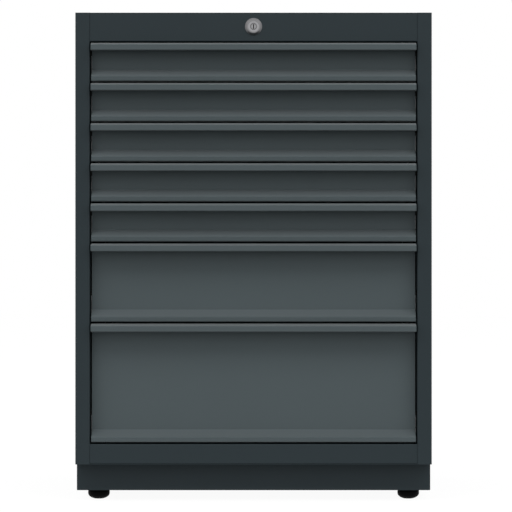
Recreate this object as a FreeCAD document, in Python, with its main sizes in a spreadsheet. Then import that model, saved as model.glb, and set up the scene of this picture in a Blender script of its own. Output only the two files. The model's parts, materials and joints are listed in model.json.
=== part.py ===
# Drawer base cabinet for a laboratory or workshop bench, in millimetres.
# The origin is on the floor under the middle of the cabinet. X runs to the right,
# Y to the back and Z up, so the drawers open along -Y.
import FreeCAD, Part
import math
import os
import re

import Sketcher

# Height of each drawer from the top one down, in units of drawer_unit
DRAWER_UNITS = (1, 1, 1, 1, 1, 2, 3)
HEX_SIDES = 6
# Two points this near, in mm, are the same corner
SAME_SPOT = 0.01
# A formula's sign on the right-hand or far side, and on the other
SIGNS = ("", "-")
# Centre of a round shape on its own axis
AXIS = ("0", "0")

# Driving sizes: name, value and meaning
SIZES = (
    ("overall_height", 915, "floor to the top of the housing"),
    ("overall_width", 666, "housing, outside to outside"),
    ("overall_depth", 600, "handle faces to rear flange"),
    ("casing_sheet", 1.2, "steel sheet of the housing"),
    ("bend_inside", 0.8, "inside radius of the housing's bends"),
    ("stile_width", 27, "front face of a side panel"),
    ("jamb_depth", 14, "return behind the stile"),
    ("jamb_return", 12, "stiffening flange behind the jamb"),
    ("rear_flange", 20, "flange that carries the back panel"),
    ("back_panel_gap", 0.3, "back panel to the bends at its sides"),
    ("rail_setback", 2, "rails behind the stile faces"),
    ("rail_flange", 12, "depth of the rails"),
    ("rail_bend", 0.3, "inside radius of the rails' bends"),
    ("top_rail_height", 53.7, "above the opening"),
    ("bottom_rail_height", 38, "below the opening"),
    ("drawer_gap", 3.6, "between two drawer fronts"),
    ("top_gap", 2.9, "above the top drawer"),
    ("plinth_height", 52, "height of the base"),
    ("plinth_setback", 45, "base behind the stile faces"),
    ("plinth_sheet", 1.5, "steel sheet of the base"),
    ("plinth_flange", 14, "inward flanges of the base"),
    ("floor_gap", 19, "under the base"),
    ("front_sheet", 1.2, "steel sheet of a drawer front"),
    ("front_bend", 1.0, "inside radius of the front's bends"),
    ("front_side_gap", 2.85, "drawer front to the jamb"),
    ("recess_depth", 22, "finger recess behind the lip"),
    ("lip_height", 9.5, "lip at the bottom of a front"),
    ("lip_lean", 0.6, "lip's bottom edge behind its top edge"),
    ("ledge_rise", 13, "slope from the lip to the recess"),
    ("under_flange", 16, "front's flange under the drawer box"),
    ("handle_side_gap", 2.8, "handle to the jamb"),
    ("handle_reach", 17, "handle's face in front of the lip"),
    ("handle_height", 14.5, "handle, top edge to bottom edge"),
    ("handle_slope", 3.8, "fall of the handle's top towards its face"),
    ("handle_wall", 2, "wall of the handle profile"),
    ("handle_depth", 24, "top leaf of the handle"),
    ("handle_grip", 6, "inward bead under the handle's face"),
    ("handle_leaf", 1.6, "leaf under the front's top flange"),
    ("handle_leaf_depth", 14, "reach of that leaf"),
    ("handle_slot_wall", 3, "handle's face to the bottom of its slot"),
    ("handle_play", 0.1, "front's flange in the handle's slot"),
    ("handle_round", 1.6, "rounded edges of the handle"),
    ("box_sheet", 1.0, "steel sheet of a drawer box"),
    ("box_depth", 520, "drawer box, front to back"),
    ("box_drop", 11.4, "box wall below the front's top edge"),
    ("hem_height", 8, "folded rim of the box"),
    ("slide_length", 500, "outer and inner slide members"),
    ("slide_setback", 55, "slides behind the stile faces"),
    ("slide_rise", 30, "slide's centre above the front's bottom edge"),
    ("slide_height", 45.4, "outer slide member"),
    ("slide_thickness", 12.7, "upright to drawer box"),
    ("slide_sheet", 1.2, "steel of the slides"),
    ("slide_lip", 1.5, "lip that keeps the balls in their race"),
    ("web_gap", 0.5, "between two nested slide members"),
    ("ball_race", 4, "height of a ball race"),
    ("cage_width", 4.8, "width of a ball cage"),
    ("cage_play", 0.3, "ball cage to the next race"),
    ("cage_inset", 10, "ball cage from the end of its half"),
    ("upright_setback", 42, "front uprights behind the stile faces"),
    ("upright_width", 40, "face of a slotted upright"),
    ("upright_sheet", 1.5, "steel sheet of an upright"),
    ("rear_upright_gap", 60, "rear uprights to the back of the housing"),
    ("slot_height", 14, "hook slots of the uprights"),
    ("slot_width", 3, "hook slots of the uprights"),
    ("slot_margin", 55, "end hook slots from the ends of an upright"),
    ("lock_drop", 26, "lock's centre below the top"),
    ("rosette_radius", 16, "visible face of the lock"),
    ("rosette_height", 4, "lock's face in front of the rail"),
    ("rosette_edge", 1.0, "edge of the lock's face at the rail"),
    ("rosette_flat_radius", 12, "flat ring inside the sloping rim"),
    ("rosette_recess_radius", 8.8, "dished middle of the lock's face"),
    ("rosette_recess", 1.2, "depth of the dished middle"),
    ("barrel_radius", 9.5, "lock barrel through the rail"),
    ("barrel_length", 17, "barrel behind the rail's face"),
    ("barrel_play", 0.15, "barrel in the rail's hole"),
    ("plug_radius", 5.5, "part of the lock that turns"),
    ("plug_play", 0.05, "plug in the barrel"),
    ("key_slot_width", 2.0, "keyhole"),
    ("key_slot_height", 8.4, "keyhole"),
    ("key_slot_depth", 13, "keyhole"),
    ("lock_nut_width", 25, "across the flats of the lock's nut"),
    ("lock_nut_height", 4, "thickness of the lock's nut"),
    ("cam_sheet", 2.5, "cam behind the lock"),
    ("cam_gap", 0.5, "cam behind the barrel"),
    ("cam_drive", 6, "square end of the plug"),
    ("cam_hub_radius", 7, "round end of the cam"),
    ("cam_pin_throw", 8, "cam pin from the lock's axis"),
    ("cam_pin_radius", 2, "pin that lifts the crossbar"),
    ("cam_pin_tip", 1, "pin behind the crossbar"),
    ("cam_arm_wall", 1.5, "cam around its pin"),
    ("cam_slot_play", 0.45, "cam pin in the crossbar's slot"),
    ("bar_sheet", 2, "steel of the lock bars"),
    ("bar_front_gap", 2.8, "lock bars behind the drawer fronts"),
    ("bar_side_gap", 2.3, "lock bars outside the opening"),
    ("bar_width", 14, "upright lock bars"),
    ("bar_stop_gap", 0.3, "lock bars above the floor sheet"),
    ("crossbar_height", 22, "bar behind the top rail"),
    ("tab_reach", 11.3, "blocking tab in from its bar"),
    ("tab_height", 8, "blocking tab"),
    ("tab_gap", 1, "blocking tab below the catch when unlocked"),
    ("catch_drop", 17, "catch below the next drawer's front"),
    ("catch_height", 10, "catch that the tab blocks"),
    ("catch_reach", 7.5, "catch out from its foot"),
    ("catch_sheet", 1.5, "steel of the catch"),
    ("catch_foot", 16, "catch's foot along the drawer box"),
    ("catch_foot_drop", 16, "catch's foot below the catch"),
    ("catch_play", 0.3, "catch behind the tab"),
    ("guide_height", 14, "guides of the lock bars"),
    ("guide_inset", 10, "end guides from the opening's ends"),
    ("guide_play", 0.3, "lock bar in its guide"),
    ("guide_wall", 3.4, "plastic around the lock bar"),
    ("guide_grip", 8, "guide's reach over the lock bar"),
    ("foot_radius", 20.6, "levelling foot"),
    ("foot_flat_radius", 8.5, "flat under the foot"),
    ("low_knee_radius", 15.3, "lower knee of the foot's bowl"),
    ("low_knee_height", 2.8, "lower knee of the foot's bowl"),
    ("high_knee_radius", 18.9, "upper knee of the foot's bowl"),
    ("high_knee_height", 5.6, "upper knee of the foot's bowl"),
    ("foot_rim_height", 10, "lower edge of the foot's rim"),
    ("foot_rim_width", 2.8, "rim of the foot"),
    ("foot_height", 17, "foot without its nut"),
    ("foot_bevel", 2.7, "bevel above the rim of the foot"),
    ("foot_nut_width", 17, "across the flats of the foot's nut"),
    ("foot_nut_height", 6, "nut fixed on the stem"),
    ("foot_stop_gap", 0.3, "foot's nut under its bracket"),
    ("stem_radius", 5, "threaded stem of the foot"),
    ("stem_top", 62, "top of the stem above the floor"),
    ("stem_play", 0.08, "stem in the bracket's nut"),
    ("foot_side_inset", 39, "foot from the side of the base"),
    ("foot_end_inset", 43, "foot from the front or back of the base"),
    ("bracket_width", 46, "foot bracket, both ways"),
    ("bracket_sheet", 3, "steel of the foot bracket"),
    ("bracket_nut_width", 18, "nut on the foot bracket"),
    ("bracket_nut_height", 8, "nut on the foot bracket"),
    ("worktop_hole_radius", 3.5, "worktop fixing holes"),
    ("worktop_hole_side", 40, "fixing holes from the side of the opening"),
    ("worktop_hole_end", 70, "fixing holes from front and back"),
    ("plinth_corner", 2, "rounded lower corners of the base"),
)

# Places that follow from the driving sizes
PLACES = (
    ("half_width", "overall_width / 2"),
    ("handle_front", "-overall_depth / 2"),
    ("front_y", "handle_front + handle_reach"),
    ("back_y", "overall_depth / 2"),
    (
        "drawer_unit",
        "(overall_height - floor_gap - plinth_height - bottom_rail_height - top_rail_height - top_gap)"
        f" / {sum(DRAWER_UNITS)}",
    ),
    ("opening_half", "half_width - stile_width"),
    ("side_inner", "half_width - casing_sheet"),
    ("jamb_back", "front_y + jamb_depth"),
    ("back_inner", "back_y - casing_sheet"),
    ("panel_half", "side_inner - bend_inside - back_panel_gap"),
    ("rail_face", "front_y + rail_setback"),
    ("housing_bottom", "floor_gap + plinth_height"),
    ("floor_top", "housing_bottom + casing_sheet"),
    ("opening_bottom", "housing_bottom + bottom_rail_height"),
    ("opening_height", f"{sum(DRAWER_UNITS)} * drawer_unit + top_gap"),
    ("opening_top", "opening_bottom + opening_height"),
    ("housing_top", "opening_top + top_rail_height"),
    ("roof_under", "housing_top - casing_sheet"),
    ("plinth_front", "front_y + plinth_setback"),
    ("box_half", "opening_half - slide_thickness"),
    ("recess_back", "front_y + recess_depth"),
    ("box_front", "recess_back + front_sheet"),
    ("slide_start", "front_y + slide_setback"),
    ("middle_height", "slide_height - 2 * (slide_sheet + ball_race)"),
    ("inner_height", "middle_height - 2 * (slide_sheet + ball_race)"),
    ("outer_tip", "box_half + 2 * slide_sheet + web_gap"),
    ("middle_outside", "opening_half - slide_sheet - web_gap"),
    ("middle_tip", "box_half + slide_sheet + web_gap"),
    ("inner_tip", "middle_outside - slide_sheet - web_gap"),
    ("cage_inside", "outer_tip + slide_sheet + cage_play"),
    ("front_upright", "front_y + upright_setback"),
    ("rear_upright", "back_y - rear_upright_gap - upright_width"),
    ("slot_pitch", "drawer_unit / 2"),
    ("lock_height", "housing_top - lock_drop"),
    ("plug_face", "rosette_height - rosette_recess"),
    ("cam_top", "-barrel_length - cam_gap"),
    ("bar_front", "box_front + bar_front_gap"),
    ("bar_back", "bar_front + bar_sheet"),
    ("bar_inner", "opening_half + bar_side_gap"),
    ("bar_outer", "bar_inner + bar_width"),
    ("bar_bottom", "floor_top + bar_stop_gap"),
    ("pin_rest_height", "lock_height - cam_pin_throw * sin(45)"),
    ("crossbar_bottom", "pin_rest_height - crossbar_height / 2"),
    ("crossbar_top", "pin_rest_height + crossbar_height / 2"),
    ("catch_front", "bar_back + catch_play"),
    ("catch_rise", "drawer_unit - catch_drop"),
    ("tab_top", "catch_rise - tab_gap"),
    ("nut_under", "foot_height + foot_nut_height + foot_stop_gap"),
    ("foot_side", "half_width - foot_side_inset"),
    ("front_foot", "plinth_front + foot_end_inset"),
    ("rear_foot", "back_y - foot_end_inset"),
)

NAMES = {row[0] for row in SIZES + PLACES}

doc = FreeCAD.newDocument("drawer_base_cabinet")
sheet = doc.addObject("Spreadsheet::Sheet", "Sizes")


def fill_sheet():
    """Write every size and every place into the sheet, each with its alias."""
    for row, (name, value, meaning) in enumerate(SIZES, start=1):
        sheet.set(f"A{row}", name)
        sheet.set(f"B{row}", str(value))
        sheet.setAlias(f"B{row}", name)
        sheet.set(f"C{row}", meaning)
    for row, (name, formula) in enumerate(PLACES, start=len(SIZES) + 1):
        sheet.set(f"A{row}", name)
        sheet.set(f"B{row}", "=" + formula)
        sheet.setAlias(f"B{row}", name)
    doc.recompute()


def cells(formula):
    """A formula of sizes, rewritten so that it points at the sheet's cells."""
    def cell(word):
        return "Sizes." + word.group() if word.group() in NAMES else word.group()

    return re.sub(r"[a-z][a-z_]*", cell, str(formula))


def number(formula):
    return float(sheet.evalExpression(cells(formula)))


def bind(thing, prop, formula):
    thing.setExpression(prop, cells(formula))


def new_body(label):
    body = doc.addObject("PartDesign::Body", label)
    body.Label = label
    return body


def origin_part(body, role):
    return next(item for item in body.Origin.OriginFeatures if item.Role == role)


def new_sketch(body, plane, start):
    """Empty sketch on one of the body's origin planes, moved to start along its axis."""
    sketch = body.newObject("Sketcher::SketchObject", "Sketch")
    sketch.AttachmentSupport = [(origin_part(body, plane + "_Plane"), "")]
    sketch.MapMode = "FlatFace"
    side = "-" if plane == "XZ" else ""
    bind(sketch, "AttachmentOffset.Base.z", f"{side}({start})")
    return sketch


def pin_corner(sketch, line, end, corner):
    """Hold one end of a line at a corner given by two formulas."""
    for kind, formula in zip(("DistanceX", "DistanceY"), corner):
        rule = Sketcher.Constraint(kind, -1, 1, line, end, number(formula))
        index = sketch.addConstraint(rule)
        bind(sketch, f"Constraints[{index}]", formula)


def draw_chain(sketch, spots, closed):
    """Lines from spot to spot, joined at their ends. Returns the number of the first."""
    first = sketch.GeometryCount
    ends = spots[1:] + spots[:1] if closed else spots[1:]
    sketch.addGeometry([Part.LineSegment(a, b) for a, b in zip(spots, ends)])
    joints = [
        Sketcher.Constraint("Coincident", line, 2, line + 1, 1)
        for line in range(first, first + len(ends) - 1)
    ]
    if closed:
        joints.append(Sketcher.Constraint("Coincident", first + len(ends) - 1, 2, first, 1))
    sketch.addConstraint(joints)
    return first


def draw_polygon(sketch, corners):
    spots = [FreeCAD.Vector(number(x), number(y)) for x, y in corners]
    first = draw_chain(sketch, spots, True)
    for step, corner in enumerate(corners):
        pin_corner(sketch, first + step, 1, corner)


def draw_circle(sketch, centre, radius):
    spot = FreeCAD.Vector(number(centre[0]), number(centre[1]))
    circle = Part.Circle(spot, FreeCAD.Vector(0, 0, 1), number(radius))
    line = sketch.addGeometry(circle)
    pin_corner(sketch, line, 3, centre)
    index = sketch.addConstraint(Sketcher.Constraint("Radius", line, number(radius)))
    bind(sketch, f"Constraints[{index}]", radius)


def box_corners(low, high):
    """Corners of a rectangle between two points given by formulas."""
    return [(low[0], low[1]), (high[0], low[1]), (high[0], high[1]), (low[0], high[1])]


def hexagon(centre, width):
    """Corners of a hexagon with the given width across its flats."""
    x, y = centre
    reach = f"({width}) / sqrt(3)"
    angles = [360 / HEX_SIDES * step for step in range(HEX_SIDES)]
    return [(f"{x} + {reach} * cos({angle})", f"{y} + {reach} * sin({angle})") for angle in angles]


def pad(body, plane, outline, start, length, centred=False):
    """Add material along the plane's axis, from start or to both sides of it."""
    sketch = new_sketch(body, plane, start)
    outline(sketch)
    feature = body.newObject("PartDesign::Pad", "Pad")
    feature.Profile = sketch
    bind(feature, "Length", length)
    if centred:
        feature.SideType = "Symmetric"
    else:
        feature.Reversed = plane == "XZ"
    doc.recompute()
    return feature


def pocket(body, plane, outline, start, length, centred=False):
    """Take material away along the plane's axis, from start or to both sides of it."""
    before = body.Shape.Volume
    sketch = new_sketch(body, plane, start)
    outline(sketch)
    feature = body.newObject("PartDesign::Pocket", "Pocket")
    feature.Profile = sketch
    bind(feature, "Length", length)
    if centred:
        feature.SideType = "Symmetric"
    else:
        feature.Reversed = plane != "XZ"
    doc.recompute()
    if body.Shape.Volume >= before:
        raise RuntimeError(body.Label + ": a pocket cuts nothing")
    return feature


def cut_through(body, plane, outline, face, thickness):
    """Opening right through a wall that starts at face, with room to spare on both sides."""
    return pocket(body, plane, outline, f"{face} - ({thickness})", f"3 * ({thickness})")


def revolve(body, corners):
    """Solid turned about the body's Z axis from corners given as radius and height."""
    sketch = new_sketch(body, "XZ", 0)
    draw_polygon(sketch, corners)
    feature = body.newObject("PartDesign::Revolution", "Revolution")
    feature.Profile = sketch
    feature.ReferenceAxis = (sketch, ["V_Axis"])
    doc.recompute()
    return feature


def repeat(body, feature, role, pitch, copies):
    """Row of copies of one pocket along an origin axis of the body, as many as a formula says."""
    row = body.newObject("PartDesign::LinearPattern", "LinearPattern")
    row.Originals = [feature]
    row.Direction = (origin_part(body, role), [""])
    row.Mode = "Spacing"
    bind(row, "Offset", pitch)
    bind(row, "Occurrences", copies)
    body.Tip = row
    doc.recompute()


def in_plane(plane, point):
    return {"XY": (point.x, point.y), "XZ": (point.x, point.z), "YZ": (point.y, point.z)}[plane]


def straight_edges(shape, plane, spots):
    """Names of the edges that run along the plane's axis through one of the spots."""
    names = []
    for index, edge in enumerate(shape.Edges, start=1):
        ends = [in_plane(plane, vertex.Point) for vertex in edge.Vertexes]
        if len(ends) == 2 and math.dist(ends[0], ends[1]) < SAME_SPOT:
            if any(math.dist(ends[0], spot) < SAME_SPOT for spot in spots):
                names.append(f"Edge{index}")
    return names


def fillet(body, plane, spots, radius):
    """Round the edges that stand on the given spots of the plane."""
    feature = body.newObject("PartDesign::Fillet", "Fillet")
    tip = feature.BaseFeature
    feature.Base = (tip, straight_edges(tip.Shape, plane, spots))
    bind(feature, "Radius", radius)
    doc.recompute()


def spots_of(corners):
    return [(number(x), number(y)) for x, y in corners]


def offset_spots(spots, distance):
    """The other side of a bent sheet: the path moved to its left by a distance."""
    normals = []
    for a, b in zip(spots, spots[1:]):
        run = math.dist(a, b)
        normals.append(((a[1] - b[1]) / run, (b[0] - a[0]) / run))
    moved = []
    for i, spot in enumerate(spots):
        before = normals[max(i - 1, 0)]
        after = normals[min(i, len(normals) - 1)]
        stretch = distance / (1 + before[0] * after[0] + before[1] * after[1])
        shift = [stretch * (one + other) for one, other in zip(before, after)]
        moved.append((spot[0] + shift[0], spot[1] + shift[1]))
    return moved


def turns_left(a, b, c):
    return (b[0] - a[0]) * (c[1] - b[1]) - (b[1] - a[1]) * (c[0] - b[0]) > 0


def fold(body, plane, path, thickness, start, length, bend=None, left=True, centred=False):
    """Bent sheet metal: a path of corners, thickened to its left or right and extruded."""
    spots = spots_of(path)
    side = 1 if left else -1
    inner = offset_spots(spots, side * number(thickness))
    last = len(spots) - 1

    def outline(sketch):
        ring = [FreeCAD.Vector(*spot) for spot in spots + inner[::-1]]
        draw_chain(sketch, ring, True)
        for step, corner in enumerate(path):
            pin_corner(sketch, step, 1, corner)
        for step in range(last):
            twin = 2 * last - step
            sketch.addConstraint(Sketcher.Constraint("Parallel", step, twin))
            rule = Sketcher.Constraint("Distance", twin, 1, step, number(thickness))
            index = sketch.addConstraint(rule)
            bind(sketch, f"Constraints[{index}]", thickness)
        sketch.addConstraint(Sketcher.Constraint("Perpendicular", last, last - 1))
        sketch.addConstraint(Sketcher.Constraint("Perpendicular", 2 * last + 1, 0))

    pad(body, plane, outline, start, length, centred)
    if bend is None:
        return
    tight, wide = [], []
    for i in range(1, last):
        toward_sheet = turns_left(*spots[i - 1:i + 2]) == left
        tight.append(inner[i] if toward_sheet else spots[i])
        wide.append(spots[i] if toward_sheet else inner[i])
    fillet(body, plane, tight, bend)
    fillet(body, plane, wide, f"{bend} + {thickness}")


def polygon(*corners):
    return lambda sketch: draw_polygon(sketch, corners)


def rectangle(low, high):
    return lambda sketch: draw_polygon(sketch, box_corners(low, high))


def centred_rectangle(width, height):
    return rectangle((f"-{width} / 2", f"-{height} / 2"), (f"{width} / 2", f"{height} / 2"))


def circles(radius, *centres):
    def outline(sketch):
        for centre in centres:
            draw_circle(sketch, centre, radius)

    return outline


def mirrored(source, label):
    """The left-hand twin of a right-hand piece."""
    twin = doc.addObject("Part::Mirroring", label)
    twin.Source = source
    twin.Normal = FreeCAD.Vector(1, 0, 0)
    twin.Label = label
    return twin


def group(label, members, lift="0"):
    """One named piece or set of pieces, lifted to its height in the cabinet."""
    whole = doc.addObject("Part::Compound", label)
    whole.Links = members
    whole.Label = label
    bind(whole, "Placement.Base.z", lift)
    return whole


def make_side_panels():
    right = new_body("side_panel_right")
    path = [
        ("half_width - rear_flange", "back_y"),
        ("half_width", "back_y"),
        ("half_width", "front_y"),
        ("opening_half", "front_y"),
        ("opening_half", "jamb_back"),
        ("opening_half + jamb_return", "jamb_back"),
    ]
    tall = "roof_under - floor_top"
    fold(right, "XY", path, "casing_sheet", "floor_top", tall, "bend_inside", left=False)
    return {"side_panel_right": right, "side_panel_left": mirrored(right, "side_panel_left")}


def make_back_panel():
    panel = new_body("back_panel")
    outline = rectangle(("-panel_half", "floor_top"), ("panel_half", "roof_under"))
    pad(panel, "XZ", outline, "back_inner - casing_sheet", "casing_sheet")
    return {"back_panel": panel}


def end_sheet(label, bottom):
    """Flat sheet across the ends of the side panels, cut back along the rail's face."""
    body = new_body(label)
    half = [
        ("opening_half", "rail_face"),
        ("opening_half", "front_y"),
        ("half_width", "front_y"),
        ("half_width", "back_y"),
    ]
    other = [("-" + x, y) for x, y in reversed(half)]
    pad(body, "XY", polygon(*half, *other), bottom, "casing_sheet")
    fillet(body, "XY", spots_of(half[2:] + other[:2]), "bend_inside + casing_sheet")
    return body


def make_roof_and_floor():
    roof = end_sheet("top_panel", "roof_under")
    side = "opening_half - worktop_hole_side"
    end = "overall_depth / 2 - worktop_hole_end"
    holes = circles("worktop_hole_radius", *[(f"{a}({side})", f"{b}({end})") for a in SIGNS for b in SIGNS])
    cut_through(roof, "XY", holes, "roof_under", "casing_sheet")
    return {"top_panel": roof, "bottom_panel": end_sheet("bottom_panel", "housing_bottom")}


def make_rail(label, low, high):
    """Channel between the jambs, open to the back."""
    body = new_body(label)
    back = "rail_face + rail_flange"
    path = [(back, high), ("rail_face", high), ("rail_face", low), (back, low)]
    fold(body, "YZ", path, "casing_sheet", "0", "2 * opening_half", "rail_bend", centred=True)
    return body


def make_rails():
    top = make_rail("top_rail", "opening_top", "roof_under")
    hole = circles("barrel_radius + barrel_play", ("0", "lock_height"))
    cut_through(top, "XZ", hole, "rail_face", "casing_sheet")
    bottom = make_rail("bottom_rail", "floor_top", "opening_bottom")
    return {"top_rail": top, "bottom_rail": bottom}


def plinth_end(label, face, toward):
    """Front or rear channel of the base; toward is the sign that leads to the inside."""
    end = new_body(label)
    inner = f"{face} + {toward}plinth_flange"
    path = [(inner, "housing_bottom"), (face, "housing_bottom"), (face, "floor_gap"), (inner, "floor_gap")]
    fold(end, "YZ", path, "plinth_sheet", "0", "overall_width", left=toward == "", centred=True)
    for sign in SIGNS:
        low = (f"{sign}(half_width - plinth_sheet)", f"{face} + {toward}plinth_sheet")
        high = (f"{sign}2 * half_width", f"{face} + {toward}2 * plinth_flange")
        cut_through(end, "XY", rectangle(low, high), "floor_gap", "plinth_height")
    corners = [(side * number("half_width"), number("floor_gap")) for side in (1, -1)]
    fillet(end, "XZ", corners, "plinth_corner")
    return end


def make_plinth():
    """Base of four channels: the side ones fit between the flanges of the end ones."""
    front = plinth_end("plinth_front", "plinth_front", "")
    rear = plinth_end("plinth_rear", "back_y", "-")
    side = new_body("plinth_side")
    inner, face = "half_width - plinth_flange", "half_width"
    path = [(inner, "housing_bottom"), (face, "housing_bottom"), (face, "floor_gap"), (inner, "floor_gap")]
    start = "plinth_front + plinth_sheet"
    run = "back_y - plinth_front - 2 * plinth_sheet"
    fold(side, "XZ", path, "plinth_sheet", start, run, left=False)
    edge = "half_width - plinth_sheet"
    front_notch = rectangle(("0", start), (edge, "plinth_front + plinth_flange"))
    rear_notch = rectangle(("0", "back_y - plinth_flange"), (edge, "back_y - plinth_sheet"))
    for notch in (front_notch, rear_notch):
        cut_through(side, "XY", notch, "floor_gap", "plinth_height")
    return {"plinth": group("plinth", [front, rear, side, mirrored(side, "plinth_side_left")])}


def make_uprights():
    """Channels against the side panels, with a row of slots that the slides hook into."""
    posts = []
    tall = "roof_under - floor_top"
    for label in ("front_upright", "rear_upright"):
        post = new_body(label + "_post")
        low, high = ("side_inner", label), ("side_inner", f"{label} + upright_width")
        path = [low, ("opening_half", low[1]), ("opening_half", high[1]), high]
        fold(post, "XY", path, "upright_sheet", "floor_top", tall, left=False)
        middle, sill = f"{label} + upright_width / 2", "floor_top + slot_margin"
        slot = rectangle(
            (f"{middle} - slot_width / 2", sill), (f"{middle} + slot_width / 2", f"{sill} + slot_height")
        )
        lowest = cut_through(post, "YZ", slot, "opening_half", "upright_sheet")
        slots = f"floor(({tall} - 2 * slot_margin - slot_height) / slot_pitch) + 1"
        repeat(post, lowest, "Z_Axis", "slot_pitch", slots)
        posts.append(post)
    right = group("uprights_right", posts)
    return {"uprights_right": right, "uprights_left": mirrored(right, "uprights_left")}


def drawer_bottom(index):
    """Height of the bottom edge of one drawer's front."""
    units = sum(DRAWER_UNITS[:index + 1])
    return f"opening_top - top_gap - {units} * drawer_unit + drawer_gap"


def make_front(units):
    """Folded drawer front: under flange, lip, ledge, recessed panel and top flange."""
    body = new_body(f"front_{units}_units")
    top = f"{units} * drawer_unit - drawer_gap"
    flange = f"{top} - handle_wall - handle_play - front_sheet"
    path = [
        ("box_front + under_flange", "0"),
        ("front_y + lip_lean", "0"),
        ("front_y", "lip_height"),
        ("recess_back", "lip_height + ledge_rise"),
        ("recess_back", flange),
        ("front_y + handle_slot_wall + handle_play", flange),
    ]
    wide = "2 * (opening_half - front_side_gap)"
    fold(body, "YZ", path, "front_sheet", "0", wide, "front_bend", left=False, centred=True)
    return body


def make_handle(units):
    """Extruded grip that is pushed over the front's top flange."""
    body = new_body(f"handle_{units}_units")
    top = f"{units} * drawer_unit - drawer_gap"
    bottom = f"{top} - handle_height"
    slot_top = f"{top} - handle_wall"
    slot_low = f"{slot_top} - front_sheet - 2 * handle_play"
    leaf_low = f"{slot_low} - handle_leaf"
    inside = "handle_front + handle_wall"
    slot_end = "front_y + handle_slot_wall"
    corners = [
        ("handle_front", bottom),
        ("handle_front", f"{top} - handle_slope"),
        ("front_y", top),
        ("front_y + handle_depth", top),
        ("front_y + handle_depth", slot_top),
        (slot_end, slot_top),
        (slot_end, slot_low),
        ("front_y + handle_leaf_depth", slot_low),
        ("front_y + handle_leaf_depth", leaf_low),
        (inside, leaf_low),
        (inside, f"{bottom} + handle_wall"),
        ("handle_front + handle_grip", f"{bottom} + handle_wall"),
        ("handle_front + handle_grip", bottom),
    ]
    wide = "2 * (opening_half - handle_side_gap)"
    pad(body, "YZ", polygon(*corners), "0", wide, centred=True)
    fillet(body, "YZ", spots_of(corners[:2]), "handle_round")
    return body


def make_box(units):
    """Open drawer box with a folded rim."""
    body = new_body(f"box_{units}_units")
    tall = f"{units} * drawer_unit - drawer_gap - box_drop - front_sheet"
    back = "box_front + box_depth"
    pad(body, "XY", rectangle(("-box_half", "box_front"), ("box_half", back)), "front_sheet", tall)
    floor = "front_sheet + box_sheet"
    for wall, depth in (("box_sheet", f"{tall} - box_sheet - hem_height"), ("2 * box_sheet", tall)):
        low = (f"-box_half + {wall}", f"box_front + {wall}")
        high = (f"box_half - {wall}", f"{back} - {wall}")
        pocket(body, "XY", rectangle(low, high), floor, depth)
    return body


def make_slides():
    """Right-hand members of one telescopic slide, around the slide's own height."""
    half, middle, inner = "slide_height / 2", "middle_height / 2", "inner_height / 2"
    outer = new_body("outer_member")
    lip = f"{half} - slide_sheet - slide_lip"
    path = [
        ("outer_tip", lip), ("outer_tip", half), ("opening_half", half),
        ("opening_half", f"-({half})"), ("outer_tip", f"-({half})"), ("outer_tip", f"-({lip})"),
    ]
    fold(outer, "XZ", path, "slide_sheet", "slide_start", "slide_length", left=False)

    middle_member = new_body("middle_member")
    lip = f"{middle} - slide_sheet - slide_lip"
    path = [
        ("middle_tip", lip), ("middle_tip", middle), ("middle_outside", middle),
        ("middle_outside", f"-({middle})"), ("middle_tip", f"-({middle})"), ("middle_tip", f"-({lip})"),
    ]
    fold(middle_member, "XZ", path, "slide_sheet", "slide_start", "slide_length", left=False)

    inner_member = new_body("inner_member")
    path = [
        ("inner_tip", inner), ("box_half", inner),
        ("box_half", f"-({inner})"), ("inner_tip", f"-({inner})"),
    ]
    fold(inner_member, "XZ", path, "slide_sheet", "slide_start", "slide_length")
    return outer, middle_member, inner_member


def make_cages():
    """Ball cages that ride on the middle member: above and below, outside and inside it."""
    cages = []
    outside = "cage_inside + cage_width"
    run = "slide_length / 2 - 2 * cage_inset"
    outer_race = ("middle_height / 2", "middle_height / 2 + ball_race - cage_play")
    inner_race = ("inner_height / 2 + cage_play", "inner_height / 2 + ball_race")
    rear_half = "slide_start + slide_length / 2 + cage_inset"
    front_half = "slide_start + cage_inset"
    for (low, high), start in ((outer_race, rear_half), (inner_race, front_half)):
        for sign in SIGNS:
            cage = new_body("ball_cage")
            corners = rectangle(("cage_inside", f"{sign}({low})"), (outside, f"{sign}({high})"))
            pad(cage, "XZ", corners, start, run)
            cages.append(cage)
    return cages


def make_catch():
    """Angle on the drawer box that a raised tab of the lock bar holds back."""
    foot = new_body("lock_catch")
    front = "catch_front"
    low = "catch_rise - catch_foot_drop - slide_rise"
    high = "catch_rise + catch_height - slide_rise"
    pad(foot, "XZ", rectangle(("box_half", low), ("box_half + catch_sheet", high)), front, "catch_foot")
    tip = "box_half + catch_sheet + catch_reach"
    pad(foot, "XZ", rectangle(("box_half", "catch_rise - slide_rise"), (tip, high)), front, "catch_sheet")
    return foot


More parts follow.
